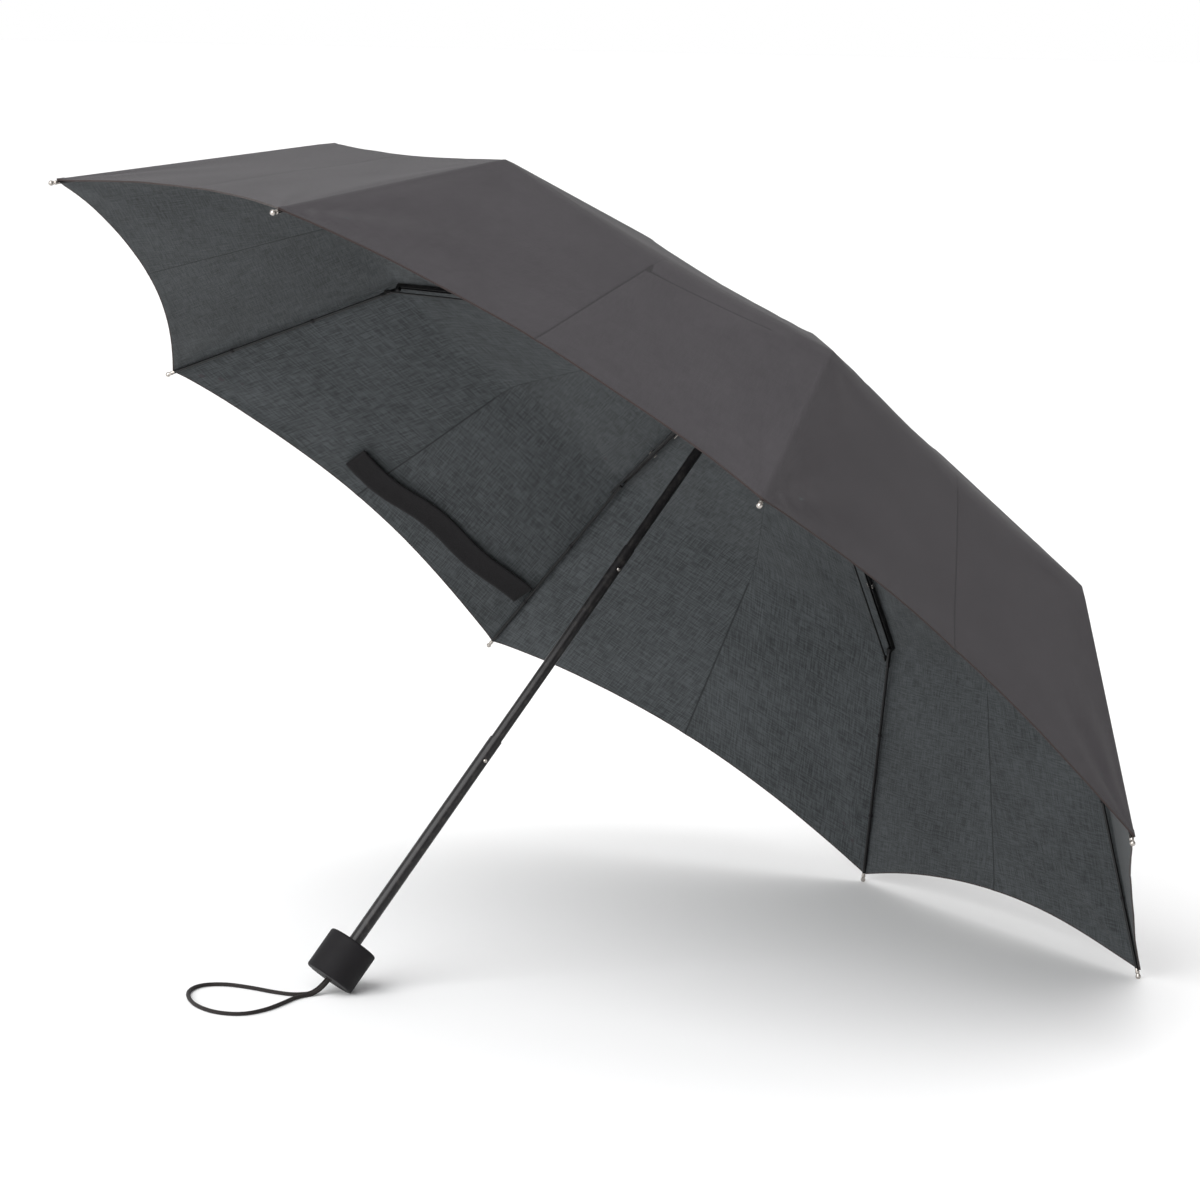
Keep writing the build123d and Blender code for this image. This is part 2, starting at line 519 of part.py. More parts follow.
def wrist_cord():
    """The round cord of the wrist loop, as straight runs joined by tangent arcs."""
    points = cord_points()
    radii = []
    for before, here, after in zip(points, points[1:], points[2:]):
        turn = math.radians((here - before).get_angle(after - here))
        shorter = min((here - before).length, (after - here).length)
        radii.append(RUN_SHARE * shorter / math.tan(turn / 2))
    path = FilletPolyline(*points, radius=radii)
    cord = sweep(Plane(origin=path @ 0, z_dir=path % 0) * Circle(CORD_RADIUS), path=path)
    section = math.pi * CORD_RADIUS ** 2
    print("cord radii", [round(r, 1) for r in radii])
    print("cord length", round(path.length, 1), "volume", round(cord.volume, 1), round(section * path.length, 1))
    return cord


# ---- all the pieces ------------------------------------------------------------------------------
def pieces():
    """Every piece on the upright umbrella, by name."""
    upper, middle, lower = shaft()
    made = {
        "upper_tube": upper,
        "middle_tube": middle,
        "lower_tube": lower,
        "crown_hub": crown(),
        "crown_ring": hinge_ring(),
        "top_cap": top_cap(),
        "runner": runner(),
        "runner_ring": Pos(0, 0, RUNNER_OPEN) * hinge_ring(),
        "runner_catch": button(UPPER_TUBE_RADIUS, UPPER_TUBE_RADIUS + 1.5, CATCH_HEIGHT),
        "upper_button": button(UPPER_TUBE_RADIUS, MIDDLE_TUBE_RADIUS + BUTTON_PROUD, UPPER_BUTTON_HEIGHT),
        "lower_button": button(MIDDLE_TUBE_RADIUS, LOWER_TUBE_RADIUS + BUTTON_PROUD, LOWER_BUTTON_HEIGHT),
        "handle_shell": handle_shell(),
        "handle_core": handle_core(),
        "handle_plug": handle_plug(),
        "canopy": canopy(),
        "closure_strap": closure_strap(),
    }
    for number, angle in enumerate(RIB_ANGLES, 1):
        made[f"inner_rib_{number}"] = on_rib(inner_rib(), CROWN_HINGE, INNER_SLOPE, angle)
        made[f"middle_rib_{number}"] = on_rib(middle_rib(), FIRST_JOINT, MIDDLE_SLOPE, angle)
        made[f"outer_rib_{number}"] = on_rib(outer_rib(), SECOND_JOINT, OUTER_SLOPE, angle)
        made[f"pull_rod_{number}"] = on_rib(pull_rod(), ROD_PIN, MIDDLE_SLOPE, angle)
        runner_hinge = (HINGE_CIRCLE_RADIUS, RUNNER_OPEN)
        made[f"stretcher_{number}"] = on_rib(stretcher(), runner_hinge, -STRETCHER_RISE, angle)
    return made


def write_parts():
    """Lays every piece down and writes one STEP file for each."""
    os.makedirs("parts", exist_ok=True)
    for name, solid in pieces().items():
        export_step(LAID * solid, f"parts/{name}.step")
    export_step(wrist_cord(), "parts/wrist_cord.step")


if __name__ == "__main__":
    write_parts()
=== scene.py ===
"""Open folding umbrella lying on its handle rim and two rib tips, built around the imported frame.

Lengths are in metres. Each rib has a plane through the shaft, and a place in it is a pair: the distance
from the shaft and the height along it. The canopy is one surface, worked out from the ribs' joints, and
it is cut along the ribs, the hinge lines and the middles of the panels so that it can fold.
"""
import bpy
import json
import math
import random
from mathutils import Matrix, Vector, noise


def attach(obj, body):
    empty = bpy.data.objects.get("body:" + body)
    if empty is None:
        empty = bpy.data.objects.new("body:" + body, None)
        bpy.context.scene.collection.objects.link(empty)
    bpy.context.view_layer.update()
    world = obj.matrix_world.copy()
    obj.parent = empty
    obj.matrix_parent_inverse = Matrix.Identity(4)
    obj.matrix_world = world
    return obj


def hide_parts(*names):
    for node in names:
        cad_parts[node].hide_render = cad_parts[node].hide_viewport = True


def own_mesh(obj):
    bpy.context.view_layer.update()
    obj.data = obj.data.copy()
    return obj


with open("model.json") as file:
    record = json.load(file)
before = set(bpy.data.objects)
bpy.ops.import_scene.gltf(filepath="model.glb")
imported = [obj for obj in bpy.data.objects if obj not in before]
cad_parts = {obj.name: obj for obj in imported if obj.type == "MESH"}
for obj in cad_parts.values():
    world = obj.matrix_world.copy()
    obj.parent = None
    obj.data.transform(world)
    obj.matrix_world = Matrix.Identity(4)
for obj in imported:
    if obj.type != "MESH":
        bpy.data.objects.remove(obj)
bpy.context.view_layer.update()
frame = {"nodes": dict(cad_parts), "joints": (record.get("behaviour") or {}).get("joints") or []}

# ---- the umbrella's own directions, from the frame -----------------------------------------------
JOINTS = {joint["name"]: joint for joint in frame["joints"]}
RIBS = range(1, 9)
RIB_COUNT = len(RIBS)
DOWN = Vector(JOINTS["runner_slide"]["axis"]).normalized()
UP = -DOWN
HINGES = [Vector(JOINTS[f"inner_fold_{k}"]["pos_m"]) for k in RIBS]
CROWN = sum(HINGES, Vector()) / RIB_COUNT
OUTWARD = [(hinge - CROWN).normalized() for hinge in HINGES]


def in_plane(point):
    """Distance from the shaft and height along it of a point of rib 1's plane."""
    away = Vector(point) - CROWN
    return Vector((away.dot(OUTWARD[0]), away.dot(UP)))


def far_end(node, start):
    """The point of a node's mesh that lies furthest from start."""
    points = (vertex.co for vertex in frame["nodes"][node].data.vertices)
    return max(points, key=lambda point: (point - start).length).copy()


BALL_RADIUS = 0.0017
SECOND_HINGE = Vector(JOINTS["outer_fold_1"]["pos_m"])
RIB_END = far_end("outer_rib_1", SECOND_HINGE)
FIRST = in_plane(JOINTS["middle_fold_1"]["pos_m"])
SECOND = in_plane(SECOND_HINGE)
OUTER_LINE = (in_plane(RIB_END) - SECOND).normalized()
TIP = in_plane(RIB_END) - OUTER_LINE * BALL_RADIUS
OUTER_UP = Vector((-OUTER_LINE[1], OUTER_LINE[0]))


def place(pair, k):
    """The point of rib k's plane at that distance and height."""
    return CROWN + OUTWARD[k - 1] * pair[0] + UP * pair[1]


# ---- camera ---------------------------------------------------------------------------------------
def look(location, azimuth, elevation, roll, lens):
    """A camera that looks along azimuth, clockwise from +Y, and elevation, turned clockwise by roll."""
    az, el, turn = (math.radians(angle) for angle in (azimuth, elevation, roll))
    ahead = Vector((math.sin(az) * math.cos(el), math.cos(az) * math.cos(el), math.sin(el)))
    level = Vector((math.cos(az), -math.sin(az), 0.0))
    above = level.cross(ahead)
    right = level * math.cos(turn) + above * math.sin(turn)
    top = right.cross(ahead)
    data = bpy.data.cameras.new("camera")
    data.lens = lens
    data.sensor_width = 36.0
    data.clip_end = 100.0
    camera = bpy.data.objects.new("camera", data)
    bpy.context.scene.collection.objects.link(camera)
    axes = Matrix((right, top, -ahead)).transposed()
    camera.matrix_world = Matrix.Translation(location) @ axes.to_4x4()
    bpy.context.scene.camera = camera


look(Vector((-1.4787, -2.6210, 0.6885)), 29.39, -7.99, 1.51, 128.75)


# ---- materials ------------------------------------------------------------------------------------
def new_material(name, base, roughness, metallic=0.0, **sockets):
    """A Principled material, its shader, and a shorthand that makes and links nodes."""
    material = bpy.data.materials.new(name)
    material.use_nodes = True
    tree = material.node_tree
    shader = tree.nodes["Principled BSDF"]
    shader.inputs["Base Color"].default_value = (*base, 1.0)
    shader.inputs["Roughness"].default_value = roughness
    shader.inputs["Metallic"].default_value = metallic
    for socket, value in sockets.items():
        shader.inputs[socket.replace("_", " ")].default_value = value
    return material, tree, shader


def node(tree, kind, links=(), **settings):
    """A node of that kind with its settings, and its inputs linked or set."""
    made = tree.nodes.new(kind)
    for name, value in settings.items():
        setattr(made, name, value)
    for socket, value in links:
        if hasattr(value, "is_output"):
            tree.links.new(value, made.inputs[socket])
        else:
            made.inputs[socket].default_value = value
    return made


def scaled(tree, vector, scale):
    """A vector times a scale for each axis."""
    return node(tree, "ShaderNodeVectorMath", ((0, vector), (1, scale)), operation="MULTIPLY").outputs[0]


def grain(tree, vector, scale, detail=3.0, rough=0.55):
    """Noise along a vector, from 0 to 1."""
    links = (("Vector", vector), ("Scale", scale), ("Detail", detail), ("Roughness", rough))
    return node(tree, "ShaderNodeTexNoise", links).outputs["Fac"]


def sums(tree, operation, a, b):
    """One arithmetic step."""
    return node(tree, "ShaderNodeMath", ((0, a), (1, b)), operation=operation).outputs[0]


def ramp(tree, value, low, high, low_out=0.0, high_out=1.0):
    """Value from low to high made into low_out to high_out, and kept there."""
    links = (("Value", value), ("From Min", low), ("From Max", high),
             ("To Min", low_out), ("To Max", high_out))
    return node(tree, "ShaderNodeMapRange", links).outputs["Result"]


def blended(tree, share, a, b):
    """Colour a where share is 0 and b where it is 1."""
    mix = node(tree, "ShaderNodeMix", ((0, share),), data_type="RGBA")
    for socket, value in ((6, a), (7, b)):
        if hasattr(value, "is_output"):
            tree.links.new(value, mix.inputs[socket])
        else:
            mix.inputs[socket].default_value = (*value, 1.0)
    return mix.outputs[2]


def bump(tree, shader, height, strength, distance):
    """Joins a height to the shader's normal."""
    links = (("Height", height), ("Strength", strength), ("Distance", distance))
    made = node(tree, "ShaderNodeBump", links)
    tree.links.new(made.outputs[0], shader.inputs["Normal"])


def object_place(tree):
    """Where a point lies in its object."""
    return node(tree, "ShaderNodeTexCoord").outputs["Object"]


def lay(tree, name):
    """A vector that the mesh carries under that name."""
    return node(tree, "ShaderNodeAttribute", attribute_name=name).outputs["Vector"]


def split(tree, vector):
    """The three parts of a vector."""
    return node(tree, "ShaderNodeSeparateXYZ", ((0, vector),)).outputs


THREAD = 0.00032     # spacing of the canopy's threads
STITCH = 0.0030      # length of a stitch with its gap
SEAM_STITCH = 0.0022  # from a rib's line to the seam's stitches
HEM_STITCH = 0.0048   # from the hem's edge to its stitches
STITCH_HALF = 0.0004  # half the width of a row of stitches
FABRIC_BUMP = 0.00012


def stitch_row(tree, distance, centre, dash):
    """A dashed row of stitches at that distance from an edge."""
    away = sums(tree, "ABSOLUTE", sums(tree, "SUBTRACT", distance, centre), 0.0)
    line = ramp(tree, away, 0.0, STITCH_HALF, 1.0, 0.0)
    return sums(tree, "MULTIPLY", line, ramp(tree, dash, -0.4, 0.4))


def fabric(name, base, light, edge, roughness, sheen, contrast):
    """Plain-weave canopy cloth: slubbed threads both ways, a hem edge, a seam and its stitches, and painted
    shade darkening the pressed creases.
    """
    material, tree, shader = new_material(name, base, roughness, Sheen_Weight=sheen, Sheen_Roughness=0.45,
                                          Specular_IOR_Level=0.22)
    cloth = lay(tree, "cloth")
    x, y, _ = split(tree, cloth)
    seam, hem, crease = split(tree, lay(tree, "edges"))
    across = grain(tree, scaled(tree, cloth, (70.0, 900.0, 1.0)), 1.0, 3.0)
    along = grain(tree, scaled(tree, cloth, (900.0, 70.0, 1.0)), 1.0, 3.0)
    clouds = grain(tree, cloth, 14.0, 4.0)
    threads = sums(tree, "ADD", sums(tree, "MULTIPLY", across, 0.5), sums(tree, "MULTIPLY", along, 0.5))
    tone = sums(tree, "ADD", sums(tree, "MULTIPLY", ramp(tree, threads, 0.40, 0.60), contrast),
                sums(tree, "MULTIPLY", ramp(tree, clouds, 0.3, 0.7), 0.25))
    colour = blended(tree, tone, base, light)
    colour = blended(tree, ramp(tree, hem, 0.0, 0.0013, 1.0, 0.0), colour, edge)
    # Painted shade: the cloth's colour darkened along the pressed creases.
    painted_crease_shade = tuple(part * 0.55 for part in base)
    colour = blended(tree, ramp(tree, crease, 0.0002, 0.0011, 0.8, 0.0), colour, painted_crease_shade)
    tree.links.new(colour, shader.inputs["Base Color"])
    weave_x = sums(tree, "SINE", sums(tree, "MULTIPLY", x, math.tau / THREAD), 0.0)
    weave_y = sums(tree, "SINE", sums(tree, "MULTIPLY", y, math.tau / THREAD), 0.0)
    weave = sums(tree, "MULTIPLY", sums(tree, "MULTIPLY", weave_x, weave_y), 0.3)
    dash = sums(tree, "SINE", sums(tree, "MULTIPLY", y, math.tau / STITCH), 0.0)
    side_dash = sums(tree, "SINE", sums(tree, "MULTIPLY", x, math.tau / STITCH), 0.0)
    stitches = sums(tree, "ADD", stitch_row(tree, seam, SEAM_STITCH, dash),
                    stitch_row(tree, hem, HEM_STITCH, side_dash))
    fold = ramp(tree, crease, 0.0, 0.0018, -3.0, 0.0)
    height = sums(tree, "ADD", sums(tree, "ADD", weave, threads), sums(tree, "ADD", fold,
                  sums(tree, "MULTIPLY", stitches, 2.0)))
    bump(tree, shader, height, 0.5, FABRIC_BUMP)
    rough = ramp(tree, threads, 0.3, 0.7, roughness - 0.07, roughness + 0.07)
    tree.links.new(rough, shader.inputs["Roughness"])
    return material


def ribbon(name, base, pitch):
    """Woven ribbon with fine cross ribs."""
    material, tree, shader = new_material(name, base, 0.85, Sheen_Weight=0.03, Specular_IOR_Level=0.15)
    where = object_place(tree)
    fuzz = grain(tree, where, 1500.0, 3.0)
    paler = tuple(part * 1.9 + 0.003 for part in base)
    colour = blended(tree, ramp(tree, fuzz, 0.3, 0.7), base, paler)
    tree.links.new(colour, shader.inputs["Base Color"])
    links = (("Vector", where), ("Scale", 1.0 / pitch / 3.2), ("Distortion", 1.5))
    wave = node(tree, "ShaderNodeTexWave", links)
    bump(tree, shader, sums(tree, "ADD", wave.outputs["Fac"], fuzz), 0.6, 0.0002)
    return material


def painted(name, base, roughness, worn, coat):
    """Black enamel on steel, with fine orange peel, handling marks and slightly worn edges."""
    material, tree, shader = new_material(name, base, roughness, Coat_Weight=coat, Coat_Roughness=0.25,
                                          Specular_IOR_Level=0.3)
    where = object_place(tree)
    marks = grain(tree, where, 210.0, 5.0, 0.65)
    peel = grain(tree, where, 2600.0, 2.0)
    edge = node(tree, "ShaderNodeNewGeometry").outputs["Pointiness"]
    wear = sums(tree, "MULTIPLY", ramp(tree, edge, 0.56, 0.70), ramp(tree, marks, 0.50, 0.65, 0.0, 0.5))
    paler = tuple(part * 1.25 for part in base)
    colour = blended(tree, ramp(tree, marks, 0.35, 0.75, 0.0, 0.6), base, paler)
    colour = blended(tree, wear, colour, worn)
    tree.links.new(colour, shader.inputs["Base Color"])
    rough = ramp(tree, marks, 0.3, 0.7, roughness - 0.03, roughness + 0.05)
    tree.links.new(rough, shader.inputs["Roughness"])
    bump(tree, shader, peel, 0.10, 0.00003)
    return material


def plated(name, base, roughness):
    """Nickel-plated steel with fine drawn lines and a few dull patches."""
    material, tree, shader = new_material(name, base, roughness, 1.0)
    where = object_place(tree)
    lines = grain(tree, scaled(tree, where, (1.0, 1.0, 6.0)), 900.0, 2.0)
    dull = grain(tree, where, 260.0, 4.0)
    rough = ramp(tree, dull, 0.35, 0.7, roughness - 0.06, roughness + 0.18)
    tree.links.new(rough, shader.inputs["Roughness"])
    colour = blended(tree, ramp(tree, dull, 0.4, 0.75), base, tuple(part * 0.72 for part in base))
    tree.links.new(colour, shader.inputs["Base Color"])
    bump(tree, shader, lines, 0.12, 0.00005)
    return material


def moulded(name, base, roughness, texture, sheen=0.0):
    """Moulded plastic or soft-touch rubber with a fine eroded grain."""
    material, tree, shader = new_material(name, base, roughness, Sheen_Weight=sheen, Specular_IOR_Level=0.18)
    where = object_place(tree)
    pits = grain(tree, where, texture, 4.0, 0.6)
    clouds = grain(tree, where, 90.0, 3.0)
    colour = blended(tree, ramp(tree, clouds, 0.35, 0.7), base, tuple(part * 1.45 for part in base))
    tree.links.new(colour, shader.inputs["Base Color"])
    rough = ramp(tree, clouds, 0.3, 0.7, roughness - 0.06, roughness + 0.08)
    tree.links.new(rough, shader.inputs["Roughness"])
    bump(tree, shader, pits, 0.35, 0.00012)
    return material


def braid(name, base):
    """Round braided cord: crossing strands wound round it, with a little fuzz, and painted shade in the gaps
    between the strands.
    """
    material, tree, shader = new_material(name, base, 0.8, Sheen_Weight=0.05, Specular_IOR_Level=0.25)
    where = object_place(tree)
    links = (("Vector", where), ("Scale", 1500.0))
    strands = node(tree, "ShaderNodeTexVoronoi", links).outputs["Distance"]
    fuzz = grain(tree, where, 2200.0, 3.0)
    # Painted shade: the gaps between strands darker and their crowns paler, the same pattern that sinks the
    # gaps in the bump.
    colour = blended(tree, ramp(tree, strands, 0.1, 0.8), tuple(part * 1.6 for part in base), base)
    tree.links.new(colour, shader.inputs["Base Color"])
    bump(tree, shader, sums(tree, "SUBTRACT", fuzz, strands), 0.7, 0.0002)
    return material


OUTSIDE = fabric("canopy_outside", (0.028, 0.025, 0.028), (0.054, 0.049, 0.054), (0.024, 0.016, 0.015),
                 0.70, 0.06, 0.40)
INSIDE = fabric("canopy_inside", (0.017, 0.0195, 0.0205), (0.066, 0.072, 0.076), (0.034, 0.015, 0.012),
                0.78, 0.06, 0.70)
STRAP = ribbon("strap_cloth", (0.0060, 0.0055, 0.0060), 0.0009)
THREAD_BLACK = ribbon("tie_thread", (0.010, 0.009, 0.010), 0.0004)
TUBE = painted("tube_enamel", (0.0060, 0.0052, 0.0058), 0.34, (0.05, 0.045, 0.04), 0.10)
RIB = painted("rib_enamel", (0.0040, 0.0040, 0.0042), 0.45, (0.06, 0.055, 0.05), 0.0)
BRIGHT = plated("nickel", (0.42, 0.39, 0.36), 0.24)
HUB = moulded("hub_plastic", (0.0070, 0.0066, 0.0070), 0.55, 900.0)
HANDLE = moulded("handle_soft_touch", (0.0050, 0.0044, 0.0052), 0.72, 2400.0, 0.03)
CORD = braid("cord_braid", (0.012, 0.0095, 0.0090))
SLOT_MATERIALS = {"tube_black": TUBE, "rib_black": RIB, "bright_metal": BRIGHT, "hub_plastic": HUB,
                  "handle_soft": HANDLE, "canopy_fabric": OUTSIDE, "strap_fabric": STRAP, "cord_braid": CORD}


def dress_frame():
    """Gives each carried-over node its slot's material."""
    for item in frame["nodes"].values():
        for slot in item.material_slots:
            key = slot.material.name.split(".")[0] if slot.material else ""
            slot.material = SLOT_MATERIALS.get(key, RIB)


# ---- meshes ---------------------------------------------------------------------------------------
def make(name, points, faces, materials):
    """A smooth-shaded mesh object with its materials."""
    mesh = bpy.data.meshes.new(name)
    mesh.from_pydata([tuple(point) for point in points], [], faces)
    for material in materials:
        mesh.materials.append(material)
    mesh.polygons.foreach_set("use_smooth", [True] * len(faces))
    made = bpy.data.objects.new(name, mesh)
    bpy.context.scene.collection.objects.link(made)
    return made


def lathe(name, outline, base, axis, material, sides=32):
    """A turned piece: outline pairs are a radius and a height along axis from base."""
    axis = axis.normalized()
    side = axis.orthogonal().normalized()
    other = axis.cross(side)
    points, faces = [], []
    for radius, height in outline:
        for step in range(sides):
            angle = math.tau * step / sides
            out = side * math.cos(angle) + other * math.sin(angle)
            points.append(base + out * radius + axis * height)
    for row in range(len(outline) - 1):
        for step in range(sides):
            a, b = row * sides + step, row * sides + (step + 1) % sides
            faces.append((a, b, b + sides, a + sides))
    faces.append(tuple(reversed(range(sides))))
    faces.append(tuple(range((len(outline) - 1) * sides, len(outline) * sides)))
    return make(name, points, faces, [material])


def wire(name, points, radius, material):
    """A bent round wire as a smooth curve."""
    data = bpy.data.curves.new(name, "CURVE")
    data.dimensions = "3D"
    data.bevel_depth = radius
    data.bevel_resolution = 4
    data.resolution_u = 12
    data.use_fill_caps = True
    spline = data.splines.new("NURBS")
    spline.points.add(len(points) - 1)
    for item, point in zip(spline.points, points):
        item.co = (*point, 1.0)
    spline.order_u = 3
    spline.use_endpoint_u = True
    data.materials.append(material)
    made = bpy.data.objects.new(name, data)
    bpy.context.scene.collection.objects.link(made)
    return made


# ---- wrist cord -----------------------------------------------------------------------------------
CORD_RADIUS = 0.0014
CORD_LIE = 0.0015
CORD_EXIT = (-0.2070, 0.0015, 0.01463)
CORD_TURN = (-0.2174, 0.0015)
CORD_LOOP = [(-0.2350, 0.0006), (-0.2445, 0.0130), (-0.2540, 0.0330), (-0.2660, 0.0500), (-0.2830, 0.0540),
             (-0.2980, 0.0410), (-0.3070, 0.0200), (-0.3110, -0.0030), (-0.3070, -0.0250), (-0.2930, -0.0370),
             (-0.2740, -0.0320), (-0.2560, -0.0200), (-0.2350, -0.0034)]


def wrist_cord():
    """The wrist loop, out of the handle's base, over the surface and back in."""
    lying = [CORD_TURN, *CORD_LOOP, (CORD_TURN[0], -CORD_TURN[1])]
    route = [CORD_EXIT, *((x, y, CORD_LIE) for x, y in lying), (CORD_EXIT[0], -CORD_EXIT[1], CORD_EXIT[2])]
    cord = wire("wrist_loop", route, CORD_RADIUS, CORD)
    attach(cord, "lower_shaft")
    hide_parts("wrist_cord")


# ---- floor and lights -----------------------------------------------------------------------------
def backdrop():
    """A wide pale floor under a surround of the same white."""
    reach, steps = 45.0, 30
    points = [Vector((reach * (2 * i / steps - 1), reach * (2 * j / steps - 1), 0.0))
              for i in range(steps + 1) for j in range(steps + 1)]
    row = steps + 1
    faces = [(i * row + j, (i + 1) * row + j, (i + 1) * row + j + 1, i * row + j + 1)
             for i in range(steps) for j in range(steps)]
    material, tree, shader = new_material("backdrop_paper", (0.93, 0.93, 0.93), 0.9)
    fibres = grain(tree, object_place(tree), 260.0, 4.0)
    bump(tree, shader, fibres, 0.05, 0.0005)
    make("backdrop", points, faces, [material])


def soft_light(name, location, target, size, power, tint=(1.0, 1.0, 1.0)):
    """A square area light turned to its target."""
    data = bpy.data.lights.new(name, "AREA")
    data.shape = "SQUARE"
    data.size = size
    data.energy = power
    data.color = tint
    light = bpy.data.objects.new(name, data)
    bpy.context.scene.collection.objects.link(light)
    light.location = location
    light.rotation_euler = (Vector(target) - Vector(location)).to_track_quat("-Z", "Y").to_euler()


def studio():
    """A broad window high on the left, a weak key, fill from the left, a top bank and a pale surround."""
    middle = (0.0, 0.0, 0.25)
    window = bpy.data.lights.new("window", "SUN")
    window.energy = 3.0
    window.angle = 1.0
    lamp = bpy.data.objects.new("window", window)
    lamp.rotation_euler = Vector((-2.2, -1.3, 2.0)).to_track_quat("Z", "Y").to_euler()
    bpy.context.scene.collection.objects.link(lamp)
    soft_light("key", (-1.2, -3.2, 2.2), middle, 0.9, 14.0, (1.0, 0.96, 1.0))
    soft_light("fill", (-3.2, -1.6, 0.7), middle, 1.8, 40.0, (0.94, 0.98, 1.0))
    soft_light("top", (-0.4, 0.4, 3.6), middle, 2.6, 14.0)
    world = bpy.data.worlds.new("surround")
    world.use_nodes = True
    tree = world.node_tree
    background = tree.nodes["Background"]
    sides = split(tree, node(tree, "ShaderNodeTexCoord").outputs["Generated"])
    above = ramp(tree, sides[2], 0.15, 0.75, 1.0, 0.75)
    right = ramp(tree, sides[0], 0.64, 0.95, 1.0, 0.30)
    tree.links.new(blended(tree, right, (0.92, 0.86, 0.80), (1.0, 1.0, 1.0)), background.inputs["Color"])
    front = ramp(tree, sides[1], -0.9, -0.1, 0.28, 1.0)
    strength = sums(tree, "MULTIPLY", sums(tree, "MULTIPLY", above, right), front)
    tree.links.new(strength, background.inputs["Strength"])
    bpy.context.scene.world = world
    bpy.context.scene.view_settings.view_transform = "Standard"


# ---- canopy surface -------------------------------------------------------------------------------
FABRIC_HALF = 0.0002          # half the cloth's thickness
FABRIC_LIFT = 0.0004          # from the line of the frame's cloth to the middle of this one
HEM_SAG = 0.017               # how far the middle of a hem is cut in, square to the shaft
HEM_WIDTH = 0.0055
SAG = 0.0018                  # how far the middle of a panel hangs in
CORNER_BACK = 0.0042          # from the ball's centre back to the cloth's corner
LINE = [Vector((0.0050, 0.0062)), FIRST + Vector((0.0, 0.0030)), SECOND + Vector((0.0042, 0.0041)),
        TIP - OUTER_LINE * CORNER_BACK + OUTER_UP * BALL_RADIUS]
SPANS = [(b - a).length for a, b in zip(LINE, LINE[1:])]
STOPS = [0.0, SPANS[0], SPANS[0] + SPANS[1], sum(SPANS)]


def rib_line(s):
    """The cloth's line over a rib, s along it, going on straight past both ends."""
    zone = 0 if s < STOPS[1] else 1 if s < STOPS[2] else 2
    share = (s - STOPS[zone]) / SPANS[zone]
    return LINE[zone].lerp(LINE[zone + 1], share)


def eased(s, half):
    """The line with its corners rounded over half that length to each side."""
    samples = 9
    total = Vector((0.0, 0.0))
    for i in range(samples):
        total += rib_line(s + half * (2 * (i + 0.5) / samples - 1))
    return total / samples


# where each pucker fans out from along the line, how far it reaches and how high it stands
PUCKERS = ((STOPS[2], 0.040, 0.0005), (STOPS[3], 0.045, 0.0009), (STOPS[1], 0.040, 0.0005))


def pucker(s, away, phases):
    """Small folds that fan out from the tie at the second joint and from the corner."""
    height = 0.0
    for (centre, reach, size), phase in zip(PUCKERS, phases):
        far = math.hypot(s - centre, away)
        turn = math.atan2(s - centre, away)
        fade = (far / reach) ** 2 * math.exp(2 * (1 - far / reach)) if far < 4 * reach else 0.0
        height += size * fade * math.sin(9.0 * turn + phase) * (0.6 + 0.4 * math.sin(4.0 * turn + 2 * phase))
    return height


SEED = random.Random(11)
PHASES = {(k, side): [SEED.uniform(0.0, math.tau) for _ in range(3)] for k in RIBS for side in (-1, 1)}


def neighbour(k, side):
    """The rib on that side of rib k."""
    return (k - 1 + side) % RIB_COUNT + 1


RIB_ROUND = 0.003             # rounding of the cloth's corners over a rib, to each side
PANEL_ROUND = 0.013           # how much more of it there is mid-panel
TAUT = 0.012                  # the cloth lies flat this near to a rib
WAVE, RIPPLE = 0.0016, 0.0004  # heights of the broad and the small unevenness
CREASE_DEPTH, CREASE_WIDTH = 0.0003, 0.0030


def surface(k, side, s, v):
    """The middle of the cloth, s along rib k and v of the way to the next rib on that side."""
    other = neighbour(k, side)
    full = 4 * v * (1 - v)
    pair = eased(s, RIB_ROUND + PANEL_ROUND * full)
    at = OUTWARD[k - 1] * (1 - v) + OUTWARD[other - 1] * v
    point = CROWN + at * pair[0] + UP * pair[1]
    ahead = rib_line(s + 0.001) - rib_line(s - 0.001)
    tilt = Vector((-ahead[1], ahead[0])).normalized()
    normal = (at.normalized() * tilt[0] + UP * tilt[1]).normalized()
    share = max(0.0, s / STOPS[3])
    lift = FABRIC_LIFT - SAG * full * math.sin(math.pi * min(1.0, share) ** 0.8)
    width = 2 * pair[0] * math.sin(math.pi / RIB_COUNT)
    near, far = v * width, (1 - v) * width
    fade = min(1.0, near / TAUT) * min(1.0, far / TAUT)
    wrinkle = pucker(s, near, PHASES[k, side]) + pucker(s, far, PHASES[other, -side])
    wave = noise.noise(point * 9.0) * WAVE + noise.noise(point * 27.0 + Vector((3.0, 1.0, 2.0))) * RIPPLE
    lift += (wrinkle + wave * share) * fade
    fold = abs(v - 0.5) * width
    lift -= CREASE_DEPTH * math.exp(-(fold / CREASE_WIDTH) ** 2) * min(1.0, share * 1.5)
    return point + normal * lift


def hem_place(v):
    """How far along the ribs' line the hem lies, v of the way between two ribs."""
    return STOPS[3] - 4 * v * (1 - v) * HEM_SAG / OUTER_LINE[0]


STEP = 0.0012
FAINT = 0.0005                # makes the creases fainter nearer the crown
PLEATED = (6, -1)             # the half panel that also has a crease beside the second joints' line


def normal_at(k, side, s, v):
    """The surface's outward normal, from small steps. At a rib it is the middle of both panels' normals."""
    if v < 1e-6:
        return (one_side_normal(k, 1, s, 0.004) + one_side_normal(k, -1, s, 0.004)).normalized()
    return one_side_normal(k, side, s, v)


def one_side_normal(k, side, s, v):
    """The normal within one panel."""
    dv = 0.004
    along = surface(k, side, s + STEP, v) - surface(k, side, s - STEP, v)
    over = surface(k, side, s, v + dv) - surface(k, side, s, v - dv if v > dv else 0.0)
    normal = along.cross(over).normalized()
    return normal if normal.dot(UP) > 0 else -normal


